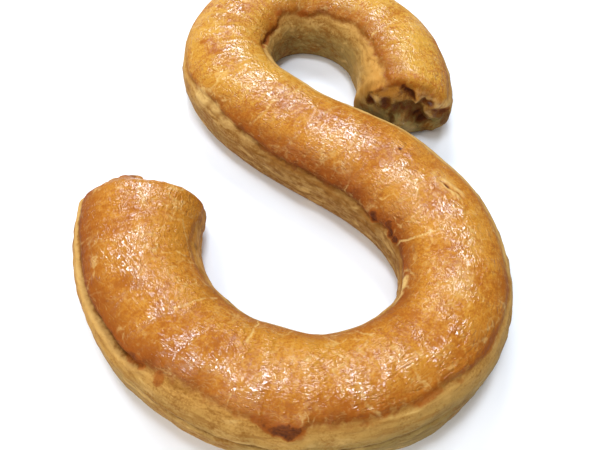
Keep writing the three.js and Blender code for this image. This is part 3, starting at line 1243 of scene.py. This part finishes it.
        # Darkness of the burnt spots and of the painted shade.
        burnt_and_shade = (crust.scorch * (0.35 + crust.mottle * 0.8 + crust.grain * 0.5)).step(0.05, 1.0)
        dulled = (crust.face * 0.7).most(crust.below.step(6.0, 10.0))
        return crust.kit.layered(
            plain,
            (crust.base, underside),
            (flaked.least(1.0), self.cream),
            (burnt_and_shade.step(0.0, 0.35) * 0.8, crust.kit.mix(dulled, self.chestnut, self.groove)),
            (burnt_and_shade.step(0.35, 0.7) * 0.85, self.border),
            (burnt_and_shade.step(0.65, 1.0) * 0.8, self.scorched),
        )


@dataclass(frozen=True)
class PaleFloor:
    """Finish of the floor: plain, pale and dull."""

    name: str = "pale_floor"
    colour: Colour = (0.86, 0.855, 0.85)
    roughness: float = 0.9

    def material(self) -> bpy.types.Material:
        """Builds the material.

        Returns:
            The material.
        """
        kit = NodeKit(self.name)
        shader = kit.node("ShaderNodeBsdfPrincipled", Base_Color=self.colour, Roughness=self.roughness)
        kit.node("ShaderNodeOutputMaterial", Surface=shader.outputs["BSDF"])
        return kit.material


@dataclass
class PastryRoll:
    """The letter's one piece: the filled and baked roll."""

    course: RollCourse = RollCourse()
    section: RollSection = RollSection()
    left: SheetEdge = LEFT_EDGE
    right: SheetEdge = RIGHT_EDGE
    head: RollEnd = HEAD_END
    tail: RollEnd = TAIL_END
    tear: Tear = Tear()
    seam: Seam = Seam()
    layers: Lamination = Lamination()
    finish: BakedCrust = BakedCrust()
    golden: tuple[Pair, ...] = ((0, 1.0), (100, 1.0), (190, 0.8), (235, 0.3), (440, 0.25), (490, 0.1))
    brush_width: float = 22.0
    least_sheen: float = 0.15
    lip: Ridge = Ridge(-2.2, 1.6, 0.12)
    crevice: Ridge = Ridge(0.6, 1.3, -1.0)
    rim: Ridge = Ridge(2.8, 1.1, 0.35)
    swell: Ridge = Ridge(6.0, 4.0, 1.0)
    edge_shift: float = 60.0
    edge_breaks: Grain = Grain(0.7, 9.0, 11.0)
    slack: Grain = Grain(0.34, 10.0, 15.0)
    slack_stretch: float = 2.4
    puffs: tuple[Grain, ...] = (Grain(0.2, 7.0, 21.0), Grain(0.05, 3.4, 33.0))
    crumbs: tuple[Grain, ...] = (Grain(0.35, 6.0, 57.0), Grain(0.3, 3.0, 52.0))
    spot_fraying: tuple[Grain, ...] = (Grain(0.35, 2.6, 81.0), Grain(0.25, 6.0, 87.0))
    face_fraying: tuple[Grain, ...] = (Grain(0.7, 2.0, 43.0), Grain(0.5, 5.0, 47.0))
    face_lumps: tuple[Grain, ...] = (Grain(0.55, 2.4, 49.0), Grain(0.8, 4.5, 45.0))
    face_creases: Grain = Grain(1.0, 4.6, 41.0)
    face_browning: float = 0.3
    face_mottle: Grain = Grain(0.7, 4.0, 44.0)
    face_wash: float = 0.9
    wash_fade: float = 6.0
    face_edge: float = 0.97
    ragged_fade: float = 4.0
    plain_lumps: float = 0.4
    plain_crease: float = 0.7
    crease_level: float = 0.2
    # Darkness of the painted shade in the ends' creases.
    crease_darkness: float = 0.4
    crease_width: float = 0.10
    knob_cover: float = 0.7
    foot_fade: float = 25.0
    tip_from: float = 0.5
    flank_from: Pair = (2.0, 5.0)
    top_from: Pair = (0.0, -4.0)
    base_from: Pair = (-0.02, 0.06)
    deep_inside: float = -40.0
    body_rows: int = 520
    end_rows: int = 30
    crown_columns: int = 58
    flank_columns: int = 40
    base_columns: int = 6
    flank_crowding: float = 1.3
    weld: float = 0.0001

    @property
    def rows(self) -> int:
        """Cells along the roll."""
        return self.body_rows + 2 * self.end_rows

    @property
    def columns(self) -> int:
        """Cells round the roll."""
        return self.crown_columns + 2 * (self.flank_columns + self.base_columns)

    def rings(self) -> tuple[Array, Array, Array, Array]:
        """Lays out the rings from the head's tip to the tail's.

        Returns:
            Each ring's distance along the roll, its share of the full section, how far it faces out at the
            head (negative) or the tail (positive), and whether it belongs to the tail's half.
        """
        share = np.arange(self.end_rows) / self.end_rows
        head_inset, head_spread, head_face = self.head.ring(share)
        tail_inset, tail_spread, tail_face = self.tail.ring(share[::-1])
        length = self.course.length
        body = np.linspace(self.head.depth, length - self.tail.depth, self.body_rows + 1)
        distance = np.concatenate([head_inset, body, length - tail_inset])
        spread = np.concatenate([head_spread, np.ones_like(body), tail_spread])
        face = np.concatenate([-head_face, np.zeros_like(body), tail_face])
        return distance, spread, face, distance > length / 2

    def section_at(self, distance: Array) -> tuple[Array, Array]:
        """Half the roll's width and the depth of its foot's curve at distances along it."""
        taken = self.head.drawn_in(distance) + self.tail.drawn_in(self.course.length - distance)
        return self.section.half_width(distance / self.course.length), self.section.foot_depth - taken

    def ring_angles(self, distance: Array) -> Array:
        """Angles of each ring's points, from the middle of the base up the right flank and down the left.

        Args:
            distance: Distance of each ring along the roll.

        Returns:
            One row of angles for each ring.
        """
        half_width, foot_depth = self.section_at(distance)
        typical = float(np.mean(half_width))
        left, right = self.left.angle(distance, typical), self.right.angle(distance, typical)
        foot = self.section.foot_angle(half_width, foot_depth)
        under = np.pi * np.ones_like(foot)
        base = np.arange(self.base_columns) / self.base_columns
        flank = (np.arange(self.flank_columns) / self.flank_columns) ** self.flank_crowding
        crown = np.arange(self.crown_columns) / self.crown_columns
        runs = (
            self.between(-under, -foot, base),
            -foot[:, None],
            self.between(-right, -foot, flank[1:])[:, ::-1],
            self.between(-right, left, crown),
            self.between(left, foot, flank),
            self.between(foot, under, np.append(base, 1.0)),
        )
        return np.concatenate(runs, axis=1)

    @staticmethod
    def between(start: Array, end: Array, share: Array) -> Array:
        """One row of values for each pair of a start and an end."""
        return start[:, None] + (end - start)[:, None] * share[None, :]

    def end_value(self, name: str, at_tail: Array) -> Array:
        """One of the ends' values at each point, from the end on the point's own half."""
        return np.where(at_tail, getattr(self.tail, name), getattr(self.head, name))

    def edge_value(self, name: str, skin: RollSkin) -> Array:
        """One of the sheet edge's values at each point, from the edge on the point's own flank."""
        left, right = (edge.value(name, skin.along[:, 0])[:, None] for edge in (self.left, self.right))
        return np.where(skin.angle > 0, left, right)

    def skin(self) -> RollSkin:
        """Lays a grid of points over the plain roll.

        Returns:
            The grid.
        """
        distance, spread, face, at_tail = self.rings()
        angle = self.ring_angles(distance)
        half_width, foot_depth = (value[:, None] for value in self.section_at(distance))
        radius = self.section.radius(angle, half_width, foot_depth)
        rings = (distance, spread, at_tail)
        along, spread, at_tail = (np.broadcast_to(value[:, None], angle.shape) for value in rings)
        tip_across, tip_up = (self.end_value(name, at_tail) for name in ("tip_across", "tip_up"))
        height = np.maximum(0.0, self.section.belly_height + radius * np.cos(angle))
        across = tip_across + (radius * np.sin(angle) - tip_across) * spread
        up = tip_up + (height - tip_up) * spread
        folds = np.where(at_tail, self.tail.folded(across, up), self.head.folded(across, up))
        shear = self.head.shear(distance) + self.tail.shear(self.course.length - distance)
        middle = self.course.places(along + face[:, None] * folds + shear[:, None] * across)
        heading = self.course.headings(distance)[:, None]
        east, north = middle[..., 0] - np.sin(heading) * across, middle[..., 1] + np.cos(heading) * across
        foot = self.section.foot_angle(half_width, foot_depth)
        points = np.stack([east, north, up], axis=-1)
        return RollSkin(along, angle, radius, across, up, spread, at_tail, foot, points)

    def surface(self) -> tuple[Array, dict[Layer, Array]]:
        """Works out the crust's points and the values that the finish needs.

        Returns:
            Points in millimetres for each row and column of the grid, and the values by layer.
        """
        skin = self.skin()
        below = self.below_edge(skin)
        marks, relief = self.marks(skin)
        crags, scorches_and_shade, knobs_and_glints = self.end_faces(skin)
        crust = self.crust_relief(skin, below) * (1.0 - skin.on_end) + crags + relief
        clear = step(skin.foot - np.abs(skin.angle), 0.0, math.radians(self.foot_fade))
        clear = clear + (1.0 - clear) * step(skin.spread, self.tip_from, 0.0)
        skin.points = skin.points + skin.normals() * (crust * clear)[..., None]
        skin.points[..., 2] = np.maximum(skin.points[..., 2], 0.0)
        marks[Layer.SCORCH] = np.maximum(marks[Layer.SCORCH], scorches_and_shade)
        marks[Layer.PALE] = np.maximum(marks[Layer.PALE], knobs_and_glints)
        return skin.points, marks | self.shades(skin, below)

    def below_edge(self, skin: RollSkin) -> Array:
        """Measures from the edge of the top sheet.

        Args:
            skin: The plain roll.

        Returns:
            Distance below the edge, negative on the sheet.
        """
        typical = float(np.mean(self.section.widths)) / 2
        left, right = (edge.angle(skin.along[:, 0], typical)[:, None] for edge in (self.left, self.right))
        return (np.abs(skin.angle) - np.where(skin.angle > 0, left, right)) * skin.radius

    def shades(self, skin: RollSkin, below: Array) -> dict[Layer, Array]:
        """Values for the finish that follow the sheet's edges, the egg wash and the ends.

        Args:
            skin: The roll with its relief.
            below: Distance of each point below the sheet's edge.

        Returns:
            The values by layer.
        """
        stops = [brushing.at for brushing in BRUSHINGS]
        brushed = np.radians(eased(skin.along, stops, [brushing.angle for brushing in BRUSHINGS]))
        sheen = hill(skin.angle, brushed, math.radians(self.brush_width))
        sheen = sheen * eased(skin.along, stops, [brushing.sheen for brushing in BRUSHINGS])
        glazed_from = self.end_value("glazed_from", skin.at_tail)
        washed = self.end_value("washed_above", skin.at_tail)
        inside_rim = (glazed_from - skin.spread) * self.section.height
        browned, wash = self.edge_value("browning", skin), self.edge_value("wash", skin)
        face_browned = self.face_browning + self.face_mottle.at(skin.points)
        face_wash = self.face_wash * step(skin.up, washed - self.wash_fade, washed + self.wash_fade)
        return {
            Layer.PLACE: flat_points(skin.along, skin.angle * skin.radius * skin.spread) * MM,
            Layer.BELOW: np.maximum(below, np.where(skin.spread < 1.0, inside_rim, self.deep_inside)),
            Layer.BASE: step(np.abs(skin.angle) - skin.foot, *self.base_from),
            Layer.BROWNED: browned + (face_browned - browned) * skin.on_end,
            Layer.WASH: wash + (face_wash - wash) * skin.on_end,
            Layer.PALE_RIM: self.edge_value("pale_rim", skin),
            # Crevice depth, which sets the painted shade under the sheet's edge.
            Layer.CREASE: self.edge_value("crevice", skin),
            Layer.DEEP: self.edge_value("deepening", skin),
            Layer.GOLD: eased(skin.along, *zip(*self.golden)),
            Layer.SHEEN: self.least_sheen + (1.0 - self.least_sheen) * sheen,
            Layer.FACE: skin.on_end,
        }

    def end_faces(self, skin: RollSkin) -> tuple[Array, Array, Array]:
        """Crags and creases on the two ends' faces, with baked spots and painted shade, and pale knobs with
        painted glints.

        Args:
            skin: The plain roll.

        Returns:
            Height of the relief, darkness of the spots and painted shade, and paleness of the knobs and
            glints at each point.
        """
        across, up, on_face = skin.across, skin.up, skin.on_end
        inside = step(skin.spread, 1.0, self.face_edge)
        fraying, lumps = (heaped(skin.points, grains) for grains in (self.face_fraying, self.face_lumps))
        crease = np.abs(self.face_creases.at(skin.points))
        relief, scorch, pale = (np.zeros_like(across) for _ in range(3))
        for end, here in ((self.head, ~skin.at_tail), (self.tail, skin.at_tail)):
            ragged = step(across - end.ragged_to, self.ragged_fade, -self.ragged_fade) * on_face
            shape = end.craggy(across, up) * inside + lumps * np.maximum(ragged, self.plain_lumps * on_face)
            depth = self.plain_crease * on_face + end.ragged * ragged
            shape = shape + depth * (crease - self.crease_level)
            burnt_and_shade = end.shade(end.scorches_and_shade, across, up, fraying) * inside
            # Painted shade in the bottoms of the face's creases.
            burnt_and_shade = np.maximum(burnt_and_shade, self.crease_darkness * ragged * step(crease, self.crease_width, 0.0))
            relief, scorch = np.where(here, shape, relief), np.where(here, burnt_and_shade, scorch)
            pale = np.where(here, end.shade(end.knobs_and_glints, across, up, fraying) * inside, pale)
        return relief, scorch * (1.0 - self.knob_cover * pale), pale

    def crust_relief(self, skin: RollSkin, below: Array) -> Array:
        """Relief of the crust: the sheet's lip, the crevice, the swollen dough, layers, lumps and puffs.

        Args:
            skin: The plain roll.
            below: Distance of each point below the sheet's edge.

        Returns:
            Height of the relief above the plain roll.
        """
        depth, swell, rim = (self.edge_value(name, skin) for name in ("crevice", "swell", "pale_rim"))
        broken = 1.0 + self.edge_breaks.at(skin.strand(self.edge_shift))
        edge = self.lip.at(below) + depth * self.crevice.at(below) + rim * self.rim.at(below)
        relief = broken * edge + swell * self.swell.at(below) + sum(lump.at(skin) for lump in LUMPS)
        on_flank, on_top = step(below, *self.flank_from), step(below, *self.top_from)
        slack = self.slack.at(flat_points(skin.along, skin.angle * skin.radius / self.slack_stretch))
        flank = heaped(skin.points, self.crumbs) + self.layers.relief(skin, below)
        return relief + on_top * (slack + heaped(skin.points, self.puffs)) + on_flank * flank

    def marks(self, skin: RollSkin) -> tuple[dict[Layer, Array], Array]:
        """Spots, cracks, the tear and the seam.

        Args:
            skin: The plain roll.

        Returns:
            The values by layer, and the height of the marks' relief.
        """
        layers = (Layer.SCORCH, Layer.PALE, Layer.CRACK, Layer.CRACKED)
        values = {layer: np.zeros_like(skin.angle) for layer in layers}
        relief = np.zeros_like(skin.angle)
        fraying = heaped(skin.points, self.spot_fraying)
        for layer, spots in SPOTS.items():
            for spot in spots:
                share = spot.share(skin, fraying)
                values[layer] = np.maximum(values[layer], spot.strength * share)
                relief += spot.rise * share
        for crack in CRACKS:
            side, inside = skin.beside(crack.start, crack.end)
            strength = crack.strength * inside * step(np.abs(side), crack.reach, crack.full_reach)
            values[Layer.CRACK] = np.where(strength > values[Layer.CRACKED], side, values[Layer.CRACK])
            values[Layer.CRACKED] = np.maximum(values[Layer.CRACKED], strength)
            relief -= crack.depth * crack.strength * inside * hill(side, 0.0, crack.width)
        opening, edges = self.tear.parts(skin)
        groove = self.seam.groove(skin)
        dark = np.maximum(self.tear.darkness * opening, self.seam.darkness * groove)
        values[Layer.SCORCH] = np.maximum(values[Layer.SCORCH], dark)
        values[Layer.PALE] = np.maximum(values[Layer.PALE], self.tear.paleness * edges)
        relief += self.tear.rise * edges - self.tear.depth * opening - self.seam.depth * groove
        return values, relief

    def build(self) -> bpy.types.Object:
        """Bends a grid onto the roll, closes it and stores the values that the finish needs.

        Returns:
            The roll's object, in the CAD solid's place.
        """
        grid = bmesh.new()
        bmesh.ops.create_grid(grid, x_segments=self.rows, y_segments=self.columns, size=0.5)
        mesh = bpy.data.meshes.new("pastry_roll_crust")
        grid.to_mesh(mesh)
        grid.free()
        flat = np.empty(len(mesh.vertices) * 3)
        mesh.vertices.foreach_get("co", flat)
        flat = flat.reshape(-1, 3)
        row = np.rint((flat[:, 0] + 0.5) * self.rows).astype(int)
        column = np.rint((flat[:, 1] + 0.5) * self.columns).astype(int)
        points, layers = self.surface()
        mesh.vertices.foreach_set("co", (points[row, column] * MM).astype(np.float32).ravel())
        for layer, values in layers.items():
            self.store(mesh, layer, values[row, column])
        self.close(mesh)
        piece = bpy.data.objects.new("pastry_roll_baked", mesh)
        bpy.context.scene.collection.objects.link(piece)
        return piece

    @staticmethod
    def store(mesh: bpy.types.Mesh, layer: Layer, values: Array) -> None:
        """Stores numbers or vectors on the mesh's points.

        Args:
            mesh: The roll's mesh.
            layer: What the values are.
            values: One number or vector for each point.
        """
        kind, key = ("FLOAT_VECTOR", "vector") if values.ndim == 2 else ("FLOAT", "value")
        made = mesh.attributes.new(layer.value, kind, "POINT")
        made.data.foreach_set(key, values.astype(np.float32).ravel())

    def close(self, mesh: bpy.types.Mesh) -> None:
        """Merges the seam and the two tips, turns the faces outwards and centres the roll on the CAD solid.

        Args:
            mesh: The roll's mesh.
        """
        shell = bmesh.new()
        shell.from_mesh(mesh)
        bmesh.ops.remove_doubles(shell, verts=shell.verts, dist=self.weld * MM)
        bmesh.ops.recalc_face_normals(shell, faces=shell.faces)
        points = np.array([vert.co for vert in shell.verts])
        lowest, highest = Vector(points.min(axis=0)), Vector(points.max(axis=0))
        low, high = (Vector(corner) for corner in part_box("pastry_roll"))
        shift = (low + high - lowest - highest) / 2
        shift.z = low.z - lowest.z
        bmesh.ops.translate(shell, verts=shell.verts, vec=shift)
        for face in shell.faces:
            face.smooth = True
        shell.to_mesh(mesh)
        shell.free()

    def dress(self, piece: bpy.types.Object) -> None:
        """Gives the roll its finish and puts it in the CAD solid's place.

        Args:
            piece: The roll's object.
        """
        piece.data.materials.append(self.finish.material())
        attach(piece, "root")
        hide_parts("pastry_roll")


@dataclass(frozen=True)
class Lamp:
    """Soft light: its place, the point that it shines at, its size, its power and its colour."""

    name: str
    place: tuple[float, float, float]
    aim: tuple[float, float, float]
    width: float
    depth: float
    power: float
    colour: Colour

    def build(self) -> None:
        """Adds the light."""
        data = bpy.data.lights.new(self.name, "AREA")
        data.shape, data.size, data.size_y = "RECTANGLE", self.width, self.depth
        data.energy, data.color = self.power, self.colour
        lamp = bpy.data.objects.new(self.name, data)
        turn = (Vector(self.aim) - Vector(self.place)).to_track_quat("-Z", "Y")
        lamp.matrix_world = Matrix.Translation(self.place) @ turn.to_matrix().to_4x4()
        bpy.context.scene.collection.objects.link(lamp)


@dataclass(frozen=True)
class Studio:
    """Plain pale floor, soft light and the camera at the photograph's angle.

    The floor and lamps are in metres, the camera's place in millimetres and its focal length in pixels.
    """

    floor_half: float = 3.0
    floor_finish: PaleFloor = PaleFloor()
    sky_colour: Colour = (1.0, 1.0, 1.0)
    sky_strength: float = 0.24
    elevation: float = 57.08
    distance: float = 280.34
    target: Pair = (4.82, -22.88)
    focal_pixels: float = 636.77
    image_width: float = 600.0
    sensor: float = 36.0
    nearest: float = 0.01
    lamps: tuple[Lamp, ...] = rows_of(
        Lamp,
        ("back", (-0.03, 0.86, 0.88), (0.0, 0.0, 0.0), 0.32, 0.32, 7.2, (0.75, 0.855, 1.0)),
        ("left", (-0.545, 0.724, 0.864), (-0.07, 0.0, 0.0), 0.27, 0.27, 5.5, (0.75, 0.855, 1.0)),
        ("right", (0.378, 0.60, 0.997), (0.07, -0.04, 0.0), 0.26, 0.26, 4.0, (0.76, 0.86, 1.0)),
        ("top", (-0.02, 0.09, 1.19), (0.0, -0.05, 0.0), 0.28, 0.24, 6.8, (0.78, 0.87, 1.0)),
        ("fill", (-0.55, -0.70, 0.75), (0.0, 0.0, 0.0), 1.4, 1.4, 11.6, (1.0, 0.97, 0.93)),
    )

    def build_floor(self) -> None:
        """Adds the floor."""
        sheet = bmesh.new()
        bmesh.ops.create_grid(sheet, x_segments=1, y_segments=1, size=self.floor_half)
        mesh = bpy.data.meshes.new("floor")
        sheet.to_mesh(mesh)
        sheet.free()
        floor = bpy.data.objects.new("floor", mesh)
        bpy.context.scene.collection.objects.link(floor)
        mesh.materials.append(self.floor_finish.material())

    def build_light(self) -> None:
        """Adds the sky and the lamps."""
        world = bpy.data.worlds.new("sky")
        world.use_nodes = True
        background = world.node_tree.nodes["Background"]
        background.inputs["Color"].default_value = (*self.sky_colour, 1.0)
        background.inputs["Strength"].default_value = self.sky_strength
        bpy.context.scene.world = world
        for lamp in self.lamps:
            lamp.build()
        bpy.context.scene.view_settings.view_transform = "Standard"

    def build_camera(self) -> None:
        """Adds the camera."""
        data = bpy.data.cameras.new("camera")
        data.sensor_width, data.sensor_fit = self.sensor, "HORIZONTAL"
        data.lens = self.sensor * self.focal_pixels / self.image_width
        data.clip_start = self.nearest
        camera = bpy.data.objects.new("camera", data)
        lift = math.radians(self.elevation)
        aim = Vector((*self.target, 0.0)) * MM
        camera.location = aim + Vector((0.0, -math.cos(lift), math.sin(lift))) * self.distance * MM
        camera.rotation_euler = (math.pi / 2 - lift, 0.0, 0.0)
        bpy.context.scene.collection.objects.link(camera)
        bpy.context.scene.camera = camera


def main() -> None:
    """Builds the letter and the studio, and logs the roll's counts of points and faces."""
    logging.basicConfig(level=logging.INFO, format="%(name)s: %(message)s")
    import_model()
    roll = PastryRoll()
    piece = roll.build()
    log.info("roll: %d points, %d faces", len(piece.data.vertices), len(piece.data.polygons))
    roll.dress(piece)
    log.info("finish: %s", roll.finish.name)
    studio = Studio()
    studio.build_floor()
    studio.build_light()
    studio.build_camera()
    log.info("studio: floor, %d lamps and camera", len(studio.lamps))


if __name__ == "__main__":
    main()
